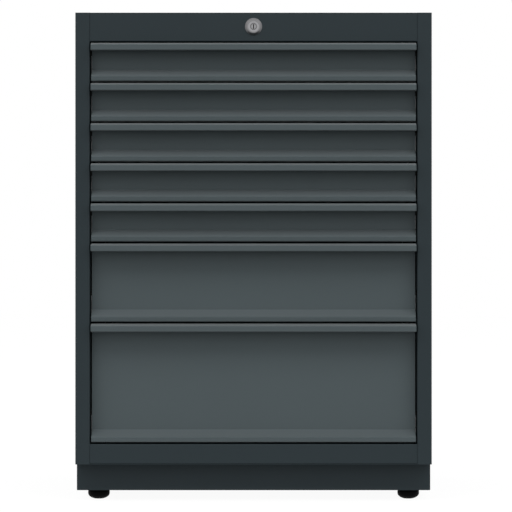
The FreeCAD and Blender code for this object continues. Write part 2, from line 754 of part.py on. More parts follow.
def make_drawers():
    outer, middle, inner = make_slides()
    cages, catch = make_cages(), make_catch()
    kinds = sorted(set(DRAWER_UNITS))
    fronts = {units: make_front(units) for units in kinds}
    handles = {units: make_handle(units) for units in kinds}
    boxes = {units: make_box(units) for units in kinds}
    both = {}
    for name, pieces in (("middle", [middle] + cages), ("inner", [inner, catch])):
        both[name] = pieces + [mirrored(piece, piece.Label + "_left") for piece in pieces]
    nodes, rails = {}, []
    for index, units in enumerate(DRAWER_UNITS):
        bottom = drawer_bottom(index)
        drawer = f"drawer_{index + 1}"
        pieces = {"front": fronts[units], "handle": handles[units], "box": boxes[units]}
        for kind, piece in pieces.items():
            nodes[f"{drawer}_{kind}"] = group(f"{drawer}_{kind}", [piece], bottom)
        for kind in ("inner", "middle"):
            label = f"{drawer}_{kind}_slides"
            nodes[label] = group(label, both[kind], f"{bottom} + slide_rise")
        rails.append(group(f"{drawer}_outer_member", [outer], f"{bottom} + slide_rise"))
    right = group("outer_slides_right", rails)
    nodes["outer_slides_right"] = right
    nodes["outer_slides_left"] = mirrored(right, "outer_slides_left")
    return nodes


def lock_cylinder():
    """Barrel and face of the lock along its own Z axis, and the nut behind the rail's sheet."""
    cylinder = new_body("lock_barrel")
    bore = "plug_radius + plug_play"
    revolve(cylinder, [
        (bore, "-barrel_length"),
        ("barrel_radius", "-barrel_length"),
        ("barrel_radius", "0"),
        ("rosette_radius", "0"),
        ("rosette_radius", "rosette_edge"),
        ("rosette_flat_radius", "rosette_height"),
        ("rosette_recess_radius", "rosette_height"),
        ("rosette_recess_radius", "plug_face"),
        (bore, "plug_face"),
    ])
    nut = new_body("lock_nut")
    flats = polygon(*hexagon(AXIS, "lock_nut_width"))
    under = "-casing_sheet - lock_nut_height"
    pad(nut, "XY", flats, under, "lock_nut_height")
    cut_through(nut, "XY", circles("barrel_radius", AXIS), under, "lock_nut_height")
    return [cylinder, nut]


def lock_plug():
    """Turning plug with its keyhole and the square end that drives the cam."""
    plug = new_body("plug")
    pad(plug, "XY", circles("plug_radius", AXIS), "cam_top", "plug_face - cam_top")
    pad(plug, "XY", centred_rectangle("cam_drive", "cam_drive"), "cam_top - cam_sheet", "cam_sheet")
    key = centred_rectangle("key_slot_width", "key_slot_height")
    pocket(plug, "XY", key, "plug_face - key_slot_depth", "2 * key_slot_depth")
    return [plug]


def lock_cam():
    """Lever on the plug's square end, with the pin that lifts the crossbar."""
    cam = new_body("cam")
    side = "(sin(45) * (cam_pin_radius + cam_arm_wall))"
    far = "(sin(45) * (cam_pin_throw + cam_pin_radius + cam_arm_wall))"
    lever = polygon(
        (f"-{side}", side), (side, f"-{side}"),
        (f"{side} - {far}", f"-{side} - {far}"), (f"-{side} - {far}", f"{side} - {far}"),
    )
    low = "cam_top - cam_sheet"
    pad(cam, "XY", circles("cam_hub_radius", AXIS), low, "cam_sheet")
    pad(cam, "XY", lever, low, "cam_sheet")
    pin = circles("cam_pin_radius", ("-cam_pin_throw * sin(45)", "-cam_pin_throw * cos(45)"))
    pin_end = "rail_face - bar_front - cam_pin_tip"
    pad(cam, "XY", pin, pin_end, f"{low} - ({pin_end})")
    cut_through(cam, "XY", centred_rectangle("cam_drive", "cam_drive"), low, "cam_sheet")
    return [cam]


def make_lock():
    """Lock pieces, modelled upright and laid along Y in the top rail."""
    pieces = {"lock_cylinder": lock_cylinder(), "lock_plug": lock_plug(), "lock_cam": lock_cam()}
    nodes = {label: group(label, members) for label, members in pieces.items()}
    for node in nodes.values():
        node.Placement.Rotation = FreeCAD.Rotation(FreeCAD.Vector(1, 0, 0), 90)
        bind(node, "Placement.Base.y", "rail_face")
        bind(node, "Placement.Base.z", "lock_height")
    return nodes


def make_lock_bars():
    """Crossbar behind the top rail and the two upright bars with a tab at each drawer."""
    bar = new_body("lock_bar_right")
    strip = rectangle(("bar_inner", "bar_bottom"), ("bar_outer", "crossbar_top"))
    pad(bar, "XZ", strip, "bar_front", "bar_sheet")

    def tabs(sketch):
        for index in range(len(DRAWER_UNITS)):
            top = f"{drawer_bottom(index)} + tab_top"
            low = ("bar_inner - tab_reach", f"{top} - tab_height")
            draw_polygon(sketch, box_corners(low, ("bar_inner + bar_sheet", top)))

    pad(bar, "XZ", tabs, "bar_front", "bar_sheet")
    crossbar = new_body("lock_crossbar")
    plate = rectangle(("-bar_outer", "crossbar_bottom"), ("bar_outer", "crossbar_top"))
    face = "bar_front - bar_sheet"
    pad(crossbar, "XZ", plate, face, "bar_sheet")
    reach = "cam_pin_radius + cam_slot_play"
    low = (f"-cam_pin_throw - ({reach})", f"pin_rest_height - ({reach})")
    high = (f"-cam_pin_throw * sin(45) + {reach}", f"pin_rest_height + {reach}")
    cut_through(crossbar, "XZ", rectangle(low, high), face, "bar_sheet")
    return {
        "lock_crossbar": crossbar,
        "lock_bar_right": bar,
        "lock_bar_left": mirrored(bar, "lock_bar_left"),
    }


def make_guides():
    """Plastic guides on the front uprights, hooked around the upright lock bars."""
    guides = []
    lip = "bar_outer - guide_grip"
    outside = "bar_outer + guide_play + guide_wall"
    slot = "bar_outer + guide_play"
    front, back = "bar_front - guide_play", "bar_back + guide_play"
    corners = [
        (lip, f"{front} - guide_wall"), (outside, f"{front} - guide_wall"),
        (outside, "front_upright"), (lip, "front_upright"),
        (lip, back), (slot, back), (slot, front), (lip, front),
    ]
    low, high = "opening_bottom + guide_inset", "opening_top - guide_inset - guide_height"
    for height in (low, f"({low} + {high}) / 2", high):
        guide = new_body("lock_guide")
        pad(guide, "XY", polygon(*corners), height, "guide_height")
        guides += [guide, mirrored(guide, "left_guide")]
    return {"lock_bar_guides": group("lock_bar_guides", guides)}


def make_foot(label, x, y):
    """Levelling foot: black bowl, fixed nut and stem, screwed all the way in."""
    foot = new_body(label)
    revolve(foot, [
        AXIS,
        ("foot_flat_radius", "0"),
        ("low_knee_radius", "low_knee_height"),
        ("high_knee_radius", "high_knee_height"),
        ("foot_radius", "foot_rim_height"),
        ("foot_radius", "foot_rim_height + foot_rim_width"),
        ("foot_radius - foot_bevel", "foot_height"),
        ("0", "foot_height"),
    ])
    pad(foot, "XY", polygon(*hexagon(AXIS, "foot_nut_width")), "foot_height", "foot_nut_height")
    pad(foot, "XY", circles("stem_radius", AXIS), "foot_height", "stem_top - foot_height")
    bind(foot, "Placement.Base.x", x)
    bind(foot, "Placement.Base.y", y)
    return foot


def make_feet():
    nodes = {}
    for end, y in (("front", "front_foot"), ("rear", "rear_foot")):
        for side, x in (("left", "-foot_side"), ("right", "foot_side")):
            nodes[f"foot_{end}_{side}"] = make_foot(f"foot_{end}_{side}", x, y)
    return nodes


def make_brackets():
    """Channels under the floor sheet that hold the nuts of the levelling feet."""
    pieces = []
    low, high, top = "foot_side - bracket_width / 2", "foot_side + bracket_width / 2", "housing_bottom"
    path = [(low, top), (low, "nut_under"), (high, "nut_under"), (high, top)]
    for y in ("front_foot", "rear_foot"):
        bracket = new_body("foot_bracket")
        fold(bracket, "XZ", path, "bracket_sheet", f"{y} - bracket_width / 2", "bracket_width")
        nut = polygon(*hexagon(("foot_side", y), "bracket_nut_width"))
        pad(bracket, "XY", nut, "nut_under + bracket_sheet", "bracket_nut_height")
        bore = circles("stem_radius + stem_play", ("foot_side", y))
        cut_through(bracket, "XY", bore, "nut_under", "bracket_sheet + bracket_nut_height")
        pieces += [bracket, mirrored(bracket, "left_bracket")]
    return {"foot_brackets": group("foot_brackets", pieces)}


def write_nodes(nodes):
    """Check every object of the document and every node, then write the STEP files."""
    doc.recompute()
    failed = [thing.Label for thing in doc.Objects if {"Invalid", "Error"} & set(thing.State)]
    if failed:
        raise RuntimeError("failed objects: " + ", ".join(failed))
    os.makedirs("parts", exist_ok=True)
    for label, node in nodes.items():
        shape = node.Shape
        if shape.isNull() or not shape.isValid() or not shape.Solids:
            raise RuntimeError("no valid solid in " + label)
    for label, node in nodes.items():
        node.Shape.exportStep(f"parts/{label}.step")
        print(label, len(node.Shape.Solids), "solids,", round(node.Shape.Volume / 1000, 1), "cm3")


fill_sheet()
makers = (
    make_side_panels, make_roof_and_floor, make_back_panel, make_rails, make_plinth,
    make_brackets, make_feet, make_uprights, make_drawers, make_lock, make_lock_bars,
    make_guides,
)
nodes = {}
for maker in makers:
    nodes.update(maker())
write_nodes(nodes)
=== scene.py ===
# %% [markdown]
# # A steel base cabinet with seven drawers
# The cabinet is sheet steel: a dark powder-coated housing, lighter drawer fronts with a
# full-width handle profile, a small nickel lock and black levelling feet. The CAD model
# already has every sheet, slide and bar in its place, so this lesson loads it as a fixed
# frame, gives each surface its finish, and adds the small things that CAD leaves out.

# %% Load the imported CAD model
import json
import math

import bmesh
import bpy
from mathutils import Matrix, Vector
from mathutils.geometry import interpolate_bezier

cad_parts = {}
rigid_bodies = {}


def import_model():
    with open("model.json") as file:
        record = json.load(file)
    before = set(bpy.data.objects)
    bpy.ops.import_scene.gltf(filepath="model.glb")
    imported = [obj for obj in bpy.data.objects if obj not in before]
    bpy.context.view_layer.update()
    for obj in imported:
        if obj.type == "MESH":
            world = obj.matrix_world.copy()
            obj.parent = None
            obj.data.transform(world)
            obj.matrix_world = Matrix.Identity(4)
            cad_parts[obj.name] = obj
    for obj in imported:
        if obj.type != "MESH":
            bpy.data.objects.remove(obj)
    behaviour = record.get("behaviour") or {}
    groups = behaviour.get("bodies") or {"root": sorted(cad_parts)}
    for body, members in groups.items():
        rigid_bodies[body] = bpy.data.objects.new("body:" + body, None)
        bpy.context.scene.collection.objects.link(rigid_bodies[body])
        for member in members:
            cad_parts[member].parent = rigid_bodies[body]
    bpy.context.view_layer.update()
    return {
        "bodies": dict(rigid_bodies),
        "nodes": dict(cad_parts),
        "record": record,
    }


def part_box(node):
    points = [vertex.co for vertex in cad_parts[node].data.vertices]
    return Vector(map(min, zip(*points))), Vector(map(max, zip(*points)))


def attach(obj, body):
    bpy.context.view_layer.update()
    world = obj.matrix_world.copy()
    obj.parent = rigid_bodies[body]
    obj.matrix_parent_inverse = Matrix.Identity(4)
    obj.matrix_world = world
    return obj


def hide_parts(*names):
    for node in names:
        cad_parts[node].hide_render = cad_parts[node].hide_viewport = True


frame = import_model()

MM = 0.001
nodes = frame["nodes"]

# %% [markdown]
# ## Camera
# The photograph is a straight front view from far away: the verticals stay upright and the
# sides don't show. A long lens at nearly five metres gives the same flat perspective. The
# numbers come from measuring the cabinet in the picture: 1.868 mm to a pixel at the front.

# %% Place the camera
FRONT_PLANE = -0.283
CAMERA_DISTANCE = 4.85
CAMERA_SIDE = 0.0046
CAMERA_HEIGHT = 0.4604
LENS = 182.6
SENSOR_WIDTH = 36
camera_data = bpy.data.cameras.new("photo_camera")
camera_data.sensor_width = SENSOR_WIDTH
camera_data.lens = LENS
camera = bpy.data.objects.new("photo_camera", camera_data)
camera.location = (CAMERA_SIDE, FRONT_PLANE - CAMERA_DISTANCE, CAMERA_HEIGHT)
camera.rotation_euler = (math.radians(90), 0, 0)
bpy.context.scene.collection.objects.link(camera)
bpy.context.scene.camera = camera
bpy.context.scene.view_settings.view_transform = "Standard"
print("camera", CAMERA_DISTANCE, "m in front, lens", LENS, "mm")

# %% [markdown]
# ## Tools for materials
# Colours are written as people read them, as sRGB hex. Shaders work in linear light, so one
# function converts them. Another adds a node to any node tree and wires its inputs, which
# keeps each material short enough to read as a recipe.

# %% Colour and node helpers
def linear(code):
    """An sRGB hex colour as the linear RGBA that shader sockets take."""
    parts = [int(code[i:i + 2], 16) / 255 for i in (1, 3, 5)]
    light = [c / 12.92 if c <= 0.04045 else ((c + 0.055) / 1.055) ** 2.4 for c in parts]
    return (*light, 1.0)


def add(tree, kind, inputs=None, **settings):
    """Add one node; its inputs are given values, or linked where a socket is given."""
    node = tree.nodes.new(kind)
    for name, value in settings.items():
        setattr(node, name, value)
    for name, value in (inputs or {}).items():
        if isinstance(value, bpy.types.NodeSocket):
            tree.links.new(value, node.inputs[name])
        else:
            node.inputs[name].default_value = value
    return node


def new_material(name):
    """An empty node material and its tree."""
    material = bpy.data.materials.new(name)
    material.use_nodes = True
    material.node_tree.nodes.clear()
    return material, material.node_tree


print("linear grey of #808080:", round(linear("#808080")[0], 3))

# %% [markdown]
# ## Powder coat
# Housing and drawers are powder-coated steel. The powder melts into a satin skin with a fine
# leathery texture: grains under a millimetre on a gentle orange peel a few millimetres wide.
# Grain and peel make the relief. Grain and a wide cloud vary the tone by a few percent,
# because real coats gather a little thicker and darker in places. The grain is drawn at
# 1.2 mm, coarser than the real 0.4 mm, so that it shows in a close view. On the drawer fronts
# the grain also scatters light that comes in low, which makes their sloping ledges and handle
# tops paler than the upright faces, and Sheen gives that.

# %% Make the powder coats
GRAIN = 1.2 * MM
PEEL = 5 * MM
CLOUD = 180 * MM
COAT_RELIEF, COAT_DEPTH = 0.35, 0.05 * MM
TWO_NOISES_LOW, TWO_NOISES_HIGH = 0.6, 1.4
LOW_TONE, HIGH_TONE = 0.965, 1.03
COAT_SMOOTH, COAT_ROUGH = 0.46, 0.62
COAT_IOR, COAT_GLOSS = 1.5, 0.2
SHEEN_SPREAD = 0.6


def powder_coat(name, colour, sheen=0.0):
    """Satin fine-texture powder coat in one colour."""
    material, tree = new_material(name)
    place = add(tree, "ShaderNodeTexCoord").outputs["Object"]
    grain = add(tree, "ShaderNodeTexNoise", {"Vector": place, "Scale": 1 / GRAIN, "Detail": 2.0})
    peel = add(tree, "ShaderNodeTexNoise", {"Vector": place, "Scale": 1 / PEEL, "Detail": 1.0})
    cloud = add(tree, "ShaderNodeTexNoise", {"Vector": place, "Scale": 1 / CLOUD, "Detail": 3.0})
    relief = add(
        tree, "ShaderNodeMath", {0: grain.outputs["Fac"], 1: peel.outputs["Fac"]}, operation="ADD"
    )
    bump = add(tree, "ShaderNodeBump", {
        "Height": relief.outputs[0], "Strength": COAT_RELIEF, "Distance": COAT_DEPTH,
    })
    mix = add(
        tree, "ShaderNodeMath", {0: cloud.outputs["Fac"], 1: grain.outputs["Fac"]}, operation="ADD"
    )
    tone = add(tree, "ShaderNodeMapRange", {
        "Value": mix.outputs[0], "From Min": TWO_NOISES_LOW, "From Max": TWO_NOISES_HIGH,
        "To Min": LOW_TONE, "To Max": HIGH_TONE,
    })
    tint = add(tree, "ShaderNodeMix", {
        "Factor": 1.0, "A": linear(colour), "B": tone.outputs["Result"],
    }, data_type="RGBA", blend_type="MULTIPLY")
    rough = add(tree, "ShaderNodeMapRange", {
        "Value": grain.outputs["Fac"], "To Min": COAT_SMOOTH, "To Max": COAT_ROUGH,
    })
    shader = add(tree, "ShaderNodeBsdfPrincipled", {
        "Base Color": tint.outputs["Result"], "Roughness": rough.outputs["Result"],
        "Normal": bump.outputs["Normal"], "IOR": COAT_IOR, "Specular IOR Level": COAT_GLOSS,
        "Sheen Weight": sheen, "Sheen Roughness": SHEEN_SPREAD,
    })
    add(tree, "ShaderNodeOutputMaterial", {"Surface": shader.outputs["BSDF"]})
    return material


casing_coat = powder_coat("anthracite_powder_coat", "#222c30")
front_coat = powder_coat("basalt_powder_coat", "#414b4e", sheen=0.18)
box_coat = powder_coat("basalt_powder_coat_inside", "#414b4e")
print("powder coats:", casing_coat.name, front_coat.name, box_coat.name)

# %% [markdown]
# ## Metals and plastics
# Inside, some parts are bare or plated metal. Slides are rolled from bright zinc-plated
# strip, which keeps fine lines along its length. The foot brackets, the cam and the screws
# are plain zinc plate, with the soft cloudy patches of a passivated bath. Black oxide is a
# thin layer grown on bare steel, nearly black and dull. The real lines and grain are about
# 0.1 mm wide, too fine to show, so they are drawn at 0.6 and 0.9 mm. A metal gets its look
# from roughness and relief, so its base colour stays nearly even and its IOR is left alone.

# %% Make the metals
STRIP_LINE = 0.6 * MM
STRIP_LENGTH = 60 * MM
PLATE_GRAIN = 0.9 * MM
BATH_PATCH = 14 * MM
METAL_DEPTH = 0.05 * MM
NOISE_LOW, NOISE_HIGH = 0.3, 0.7
PATCH_SMOOTHER, PATCH_ROUGHER = -0.06, 0.08
PATCH_DARK, PATCH_LIGHT = 0.9, 1.04


def metal(name, colour, size, rough, relief, stretch=(1, 1, 1)):
    """Bare or plated metal with a relief whose grain may be stretched along one way."""
    material, tree = new_material(name)
    place = add(tree, "ShaderNodeTexCoord").outputs["Object"]
    turned = add(tree, "ShaderNodeMapping", {"Vector": place, "Scale": stretch})
    grain = add(tree, "ShaderNodeTexNoise", {
        "Vector": turned.outputs["Vector"], "Scale": 1 / size, "Detail": 3.0,
    })
    patch = add(tree, "ShaderNodeTexNoise", {
        "Vector": place, "Scale": 1 / BATH_PATCH, "Detail": 2.0,
    })
    bump = add(tree, "ShaderNodeBump", {
        "Height": grain.outputs["Fac"], "Strength": relief, "Distance": METAL_DEPTH,
    })
    spread = add(tree, "ShaderNodeMapRange", {
        "Value": patch.outputs["Fac"], "From Min": NOISE_LOW, "From Max": NOISE_HIGH,
        "To Min": rough + PATCH_SMOOTHER, "To Max": rough + PATCH_ROUGHER,
    })
    tone = add(tree, "ShaderNodeMapRange", {
        "Value": patch.outputs["Fac"], "From Min": NOISE_LOW, "From Max": NOISE_HIGH,
        "To Min": PATCH_DARK, "To Max": PATCH_LIGHT,
    })
    tint = add(tree, "ShaderNodeMix", {
        "Factor": 1.0, "A": linear(colour), "B": tone.outputs["Result"],
    }, data_type="RGBA", blend_type="MULTIPLY")
    shader = add(tree, "ShaderNodeBsdfPrincipled", {
        "Base Color": tint.outputs["Result"], "Metallic": 1.0,
        "Roughness": spread.outputs["Result"], "Normal": bump.outputs["Normal"],
    })
    add(tree, "ShaderNodeOutputMaterial", {"Surface": shader.outputs["BSDF"]})
    return material


along = STRIP_LINE / STRIP_LENGTH
strip_steel = metal("bright_zinc_strip", "#c4c7ca", STRIP_LINE, 0.34, 0.25, (1, along, 1))
zinc_plate = metal("passivated_zinc_plate", "#b4b8ba", PLATE_GRAIN, 0.42, 0.15)
black_oxide = metal("black_oxide_steel", "#1c1a18", PLATE_GRAIN, 0.6, 0.3)
print("metals:", strip_steel.name, zinc_plate.name, black_oxide.name)

# %% [markdown]
# The lock is turned on a lathe and nickel plated. Its face has fine circles about the lock's
# axis, which stretch every reflection across them. Rings of painted light and shade lie over
# them: the plug's face is light, lightest beside the slot as a painted highlight, a ring of
# painted shadow runs round it, the next ring is a bright painted highlight, and painted darker
# reflections make the tone fall in two steps towards the rim. The circles are a noise that
# depends only on the distance from the axis, drawn at 0.3 mm where a real lathe tool leaves
# 0.1 mm, and the reflection's direction is the way round it.

# %% Make the turned nickel
TURNING = 0.3 * MM
RING_EDGE = 0.4 * MM
CIRCLE_DARK, CIRCLE_LIGHT = 0.94, 1.04
CIRCLE_RELIEF, CIRCLE_DEPTH = 0.2, 0.03 * MM
NICKEL_ROUGH = 0.32
NICKEL_STRETCH = 0.6
# Rings of painted light and shade on the lock's face: the radius where each starts, the factor past
# it.
LOCK_PAINTED_RINGS = (
    (2.6 * MM, 0.85), (4.7 * MM, 0.42), (6.4 * MM, 2.7), (10 * MM, 0.68), (13 * MM, 0.78),
)
low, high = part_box("lock_cylinder")
lock_axis = ((low.x + high.x) / 2, 0, (low.z + high.z) / 2)


def turned_metal(name, colour, painted_rings):
    """Metal turned about the lock's axis; past each ring's radius, its painted light or shade
    factor applies.
    """
    material, tree = new_material(name)
    place = add(tree, "ShaderNodeTexCoord").outputs["Object"]
    from_axis = add(tree, "ShaderNodeMapping", {
        "Vector": place, "Location": (-lock_axis[0], 0, -lock_axis[2]), "Scale": (1, 0, 1),
    }).outputs["Vector"]
    radius = add(tree, "ShaderNodeVectorMath", {0: from_axis}, operation="LENGTH").outputs["Value"]
    circles = add(tree, "ShaderNodeTexNoise", {
        "W": radius, "Scale": 1 / TURNING, "Detail": 3.0,
    }, noise_dimensions="1D").outputs["Fac"]
    way_round = add(
        tree, "ShaderNodeVectorMath", {0: (0, 1, 0), 1: from_axis}, operation="CROSS_PRODUCT"
    )
    tone = add(tree, "ShaderNodeMapRange", {
        "Value": circles, "To Min": CIRCLE_DARK, "To Max": CIRCLE_LIGHT,
    }).outputs[0]
    # Each ring's factor is a painted highlight or painted shade, not a change in the nickel itself.
    for edge, factor in painted_rings:
        painted_ring = add(tree, "ShaderNodeMapRange", {
            "Value": radius, "From Min": edge - RING_EDGE, "From Max": edge + RING_EDGE,
            "To Min": 1.0, "To Max": factor,
        }).outputs[0]
        tone = add(tree, "ShaderNodeMath", {0: tone, 1: painted_ring}, operation="MULTIPLY").outputs[0]
    tint = add(tree, "ShaderNodeMix", {
        "Factor": 1.0, "A": linear(colour), "B": tone,
    }, data_type="RGBA", blend_type="MULTIPLY")
    bump = add(tree, "ShaderNodeBump", {
        "Height": circles, "Strength": CIRCLE_RELIEF, "Distance": CIRCLE_DEPTH,
    })
    shader = add(tree, "ShaderNodeBsdfPrincipled", {
        "Base Color": tint.outputs["Result"], "Metallic": 1.0, "Roughness": NICKEL_ROUGH,
        "Anisotropic": NICKEL_STRETCH, "Tangent": way_round.outputs["Vector"],
        "Normal": bump.outputs["Normal"],
    })
    add(tree, "ShaderNodeOutputMaterial", {"Surface": shader.outputs["BSDF"]})
    return material


turned_nickel = turned_metal("turned_nickel_painted_rings", "#9e9ea0", LOCK_PAINTED_RINGS)
print("lock axis at", [round(c, 3) for c in lock_axis])

# %% [markdown]
# The plastics are nylon, moulded in a lightly spark-eroded tool, which leaves an even fine
# dimple. It is drawn at 0.8 mm, coarser than the real 0.1 mm, so that it shows. The guides of
# the lock bars keep a soft gloss. The feet are nearly black and dull, and pick up a little
# floor dust as a paler tone in the low spots.

# %% Make the plastics
EROSION = 0.8 * MM
DIMPLE_RELIEF, DIMPLE_DEPTH = 0.3, 0.06 * MM
DUSTY_TONE, CLEAN_TONE = 1.12, 0.92
NYLON_IOR = 1.53


def moulded_nylon(name, colour, rough, gloss):
    """Black nylon with the fine dimples of a spark-eroded mould."""
    material, tree = new_material(name)
    place = add(tree, "ShaderNodeTexCoord").outputs["Object"]
    dimple = add(tree, "ShaderNodeTexVoronoi", {"Vector": place, "Scale": 1 / EROSION})
    bump = add(tree, "ShaderNodeBump", {
        "Height": dimple.outputs["Distance"], "Strength": DIMPLE_RELIEF, "Distance": DIMPLE_DEPTH,
    })
    tone = add(tree, "ShaderNodeMapRange", {
        "Value": dimple.outputs["Distance"], "To Min": DUSTY_TONE, "To Max": CLEAN_TONE,
    })
    tint = add(tree, "ShaderNodeMix", {
        "Factor": 1.0, "A": linear(colour), "B": tone.outputs["Result"],
    }, data_type="RGBA", blend_type="MULTIPLY")
    shader = add(tree, "ShaderNodeBsdfPrincipled", {
        "Base Color": tint.outputs["Result"], "Roughness": rough, "Normal": bump.outputs["Normal"],
        "IOR": NYLON_IOR, "Specular IOR Level": gloss,
    })
    add(tree, "ShaderNodeOutputMaterial", {"Surface": shader.outputs["BSDF"]})
    return material


guide_nylon = moulded_nylon("moulded_nylon_guide", "#1b1c1d", 0.45, 0.4)
foot_nylon = moulded_nylon("moulded_nylon_foot", "#070708", 0.6, 0.04)
print("plastics:", guide_nylon.name, foot_nylon.name)

# %% [markdown]
# ## Dress the CAD parts
# Every CAD part says in the record which finish it has. Its object keeps its mesh and place,
# and only the material in its slots is exchanged for the detailed one of the same finish. The
# lock's bars are blackened instead, so that they don't glint through the gaps beside the
# drawers.

# %% Give every CAD node its finish
FINISHES = {
    "casing_paint": casing_coat,
    "front_paint": front_coat,
    "box_paint": box_coat,
    "slide_steel": strip_steel,
    "zinc_plate": zinc_plate,
    "lock_nickel": turned_nickel,
    "guide_plastic": guide_nylon,
    "foot_plastic": foot_nylon,
}
BLACKENED = ("lock_bar_left", "lock_bar_right", "lock_crossbar")
slot_of = {part["node"]: part["material_slot"] for part in frame["record"]["subparts"]}
for name, node in nodes.items():
    for socket in node.material_slots:
        socket.material = black_oxide if name in BLACKENED else FINISHES[slot_of[name]]
print("dressed", len(nodes), "CAD nodes in", len(set(slot_of.values())), "finishes")

# %% [markdown]
# ## Levelling feet
# A foot is a black bowl that lets the cabinet stand on an uneven floor, with a hexagon to
# turn it by and a threaded steel stem. The CAD foot has the right sizes with a bowl of three
# cones. Here its outline is drawn as a smooth bend and spun once around, the way a lathe
# would cut it, and the new foot takes the old one's place.

# %% A lathe for round parts
ROUND_STEPS = 64


def lathe(bm, outline, steps=ROUND_STEPS):
    """Spin (radius, height) points in mm about Z; points on the axis close the ends."""
    turns = [2 * math.pi * step / steps for step in range(steps)]
    rings = []
    for radius, height in outline:
        size, level = radius * MM, height * MM
        if radius == 0:
            rings.append([bm.verts.new((0, 0, level))])
        else:
            rings.append([
                bm.verts.new((size * math.cos(turn), size * math.sin(turn), level))
                for turn in turns
            ])
    for low, high in zip(rings, rings[1:]):
        for step in range(steps):
            after = (step + 1) % steps
            around = ((low, step), (low, after), (high, after), (high, step))
            corners = [ring[number % len(ring)] for ring, number in around]
            bm.faces.new(list(dict.fromkeys(corners)))


def arc_points(start, end, centre, count):
    """Points along an arc from start to end around a centre, all (radius, height)."""
    first = math.atan2(start[1] - centre[1], start[0] - centre[0])
    last = math.atan2(end[1] - centre[1], end[0] - centre[0])
    size = math.dist(start, centre)
    angles = [first + (last - first) * step / count for step in range(count + 1)]
    return [(centre[0] + size * math.cos(a), centre[1] + size * math.sin(a)) for a in angles]


def bend_points(start, first_pull, second_pull, end, count):
    """Points along a smooth bend that leaves towards one pull and arrives from the other."""
    corners = [Vector(p) for p in (start, first_pull, second_pull, end)]
    return [tuple(point) for point in interpolate_bezier(*corners, count)]


print("lathe ready with", ROUND_STEPS, "steps")

# %% Tools for pieces
SHARP_ANGLE = 35


def new_piece(name, bm, *materials):
    """Turn a bmesh into an object at the origin, shaded smooth but for its sharper edges."""
    mesh = bpy.data.meshes.new(name)
    bmesh.ops.recalc_face_normals(bm, faces=bm.faces)
    bm.to_mesh(mesh)
    bm.free()
    piece = bpy.data.objects.new(name, mesh)
    bpy.context.scene.collection.objects.link(piece)
    for material in materials:
        mesh.materials.append(material)
    mesh.shade_smooth()
    mesh.set_sharp_from_angle(angle=math.radians(SHARP_ANGLE))
    return piece


def block(bm, low, high):
    """Add a block between two corners."""
    centre = (Vector(low) + Vector(high)) / 2
    size = Vector(high) - Vector(low)
    place = Matrix.Translation(centre) @ Matrix.Diagonal((*size, 1))
    bmesh.ops.create_cube(bm, size=1, matrix=place)


def settle(piece):
    """Replace a piece's mesh by what its modifiers make of it, and remove them."""
    ready = piece.evaluated_get(bpy.context.evaluated_depsgraph_get())
    mesh = bpy.data.meshes.new_from_object(ready)
    piece.modifiers.clear()
    piece.data = mesh


def grow(piece, tree, sizes):
    """Run a geometry node tree on a piece with its named sizes, and keep the plain result."""
    modifier = piece.modifiers.new(tree.name, "NODES")
    modifier.node_group = tree
    for item in tree.interface.items_tree:
        if item.in_out == "INPUT" and item.name in sizes:
            modifier[item.identifier] = sizes[item.name]
    settle(piece)


print("piece tools ready")

# %% Spin the bowls of the feet
FOOT_TOP = 17
SOLE_EDGE = (8.5, 0)
BOWL_PULLS = ((14.5, 1.6), (20.6, 4.4))
RIM_LOW, RIM_HIGH = (20.6, 11), (20.6, 12.8)
SHOULDER_PULLS = ((20.6, 14.8), (19.6, 16.6))
SHOULDER_TOP = (17.9, FOOT_TOP)
BOWL_POINTS, SHOULDER_POINTS = 14, 8
FEET = [name for name in frame["bodies"] if name.startswith("foot_")]


def foot_axis(name):
    """Where the foot's stem stands on the floor plan, from its CAD box."""
    low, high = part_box(name)
    return ((low.x + high.x) / 2, (low.y + high.y) / 2)


def stand(bm, name):
    """Move what is drawn about Z onto a foot's axis."""
    bmesh.ops.translate(bm, verts=bm.verts, vec=Vector((*foot_axis(name), 0)))


bowl = [(0, 0), *bend_points(SOLE_EDGE, *BOWL_PULLS, RIM_LOW, BOWL_POINTS)]
bowl += [*bend_points(RIM_HIGH, *SHOULDER_PULLS, SHOULDER_TOP, SHOULDER_POINTS), (0, FOOT_TOP)]
for name in FEET:
    bm = bmesh.new()
    lathe(bm, bowl)
    stand(bm, name)
    piece = new_piece(name + "_bowl", bm, foot_nylon)
    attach(piece, name)
    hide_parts(name)
print("bowls for", ", ".join(FEET))

# %% [markdown]
# The stem is an M10 thread. A thread is a ridge that climbs around a core by one pitch a
# turn, so Geometry Nodes draws a spiral and sweeps a small diamond along it. The tree has
# its sizes as named inputs, and a lathed core with the hexagon is its input geometry.

# %% Build the thread tree
THREAD_STEPS = 20
DIAMOND_CORNERS = 4


def new_tree(name, sizes):
    """A geometry node tree with a geometry input and output, and named sizes."""
    tree = bpy.data.node_groups.new(name, "GeometryNodeTree")
    tree.interface.new_socket("Geometry", in_out="INPUT", socket_type="NodeSocketGeometry")
    for label, kind in sizes.items():
        tree.interface.new_socket(label, in_out="INPUT", socket_type=kind)
    tree.interface.new_socket("Geometry", in_out="OUTPUT", socket_type="NodeSocketGeometry")
    return tree, add(tree, "NodeGroupInput").outputs


def end_tree(tree, geometry, material):
    """The last steps of every tree: real geometry, its material, and the output."""
    real = add(tree, "GeometryNodeRealizeInstances", {"Geometry": geometry})
    painted = add(tree, "GeometryNodeSetMaterial", {
        "Geometry": real.outputs["Geometry"], "Material": material,
    })
    add(tree, "NodeGroupOutput", {0: painted.outputs["Geometry"]})


